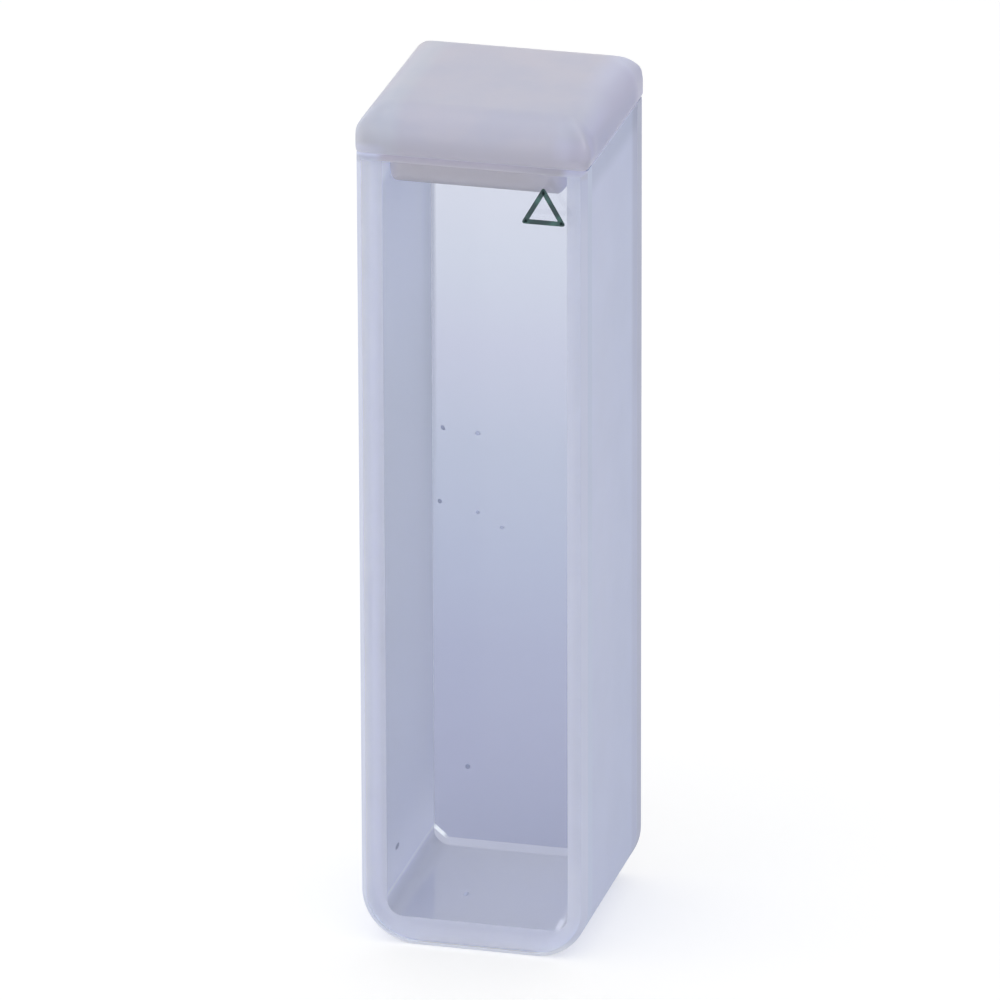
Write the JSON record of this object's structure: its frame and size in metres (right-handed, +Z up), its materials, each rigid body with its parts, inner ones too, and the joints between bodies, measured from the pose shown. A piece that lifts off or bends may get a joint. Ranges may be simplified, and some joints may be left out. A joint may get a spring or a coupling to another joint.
{
  "type": "cuvette",
  "caption": "Rectangular fused quartz spectrophotometer cell with polished front and rear windows, a frosted U-shaped frame and a loose stopper lid.",
  "frame": {"origin": "middle of the underside, on the surface that the cell stands on", "axes": "+Z up along the cell; +Y through the two windows, with the front window facing -Y; X across the two frosted side walls"},
  "size_m": [0.0126, 0.0126, 0.0476],
  "materials": {
    "frosted_quartz": "ground to an even frost, pale lavender blue",
    "polished_quartz": "polished and clear, with a faint lavender cast",
    "fluoropolymer": "milky white PTFE with a soft waxy satin"
  },
  "bodies": {
    "root": {"side_frame": "frosted_quartz", "front_window": "polished_quartz", "rear_window": "polished_quartz", "lid": "fluoropolymer"}
  },
  "joints": []
}
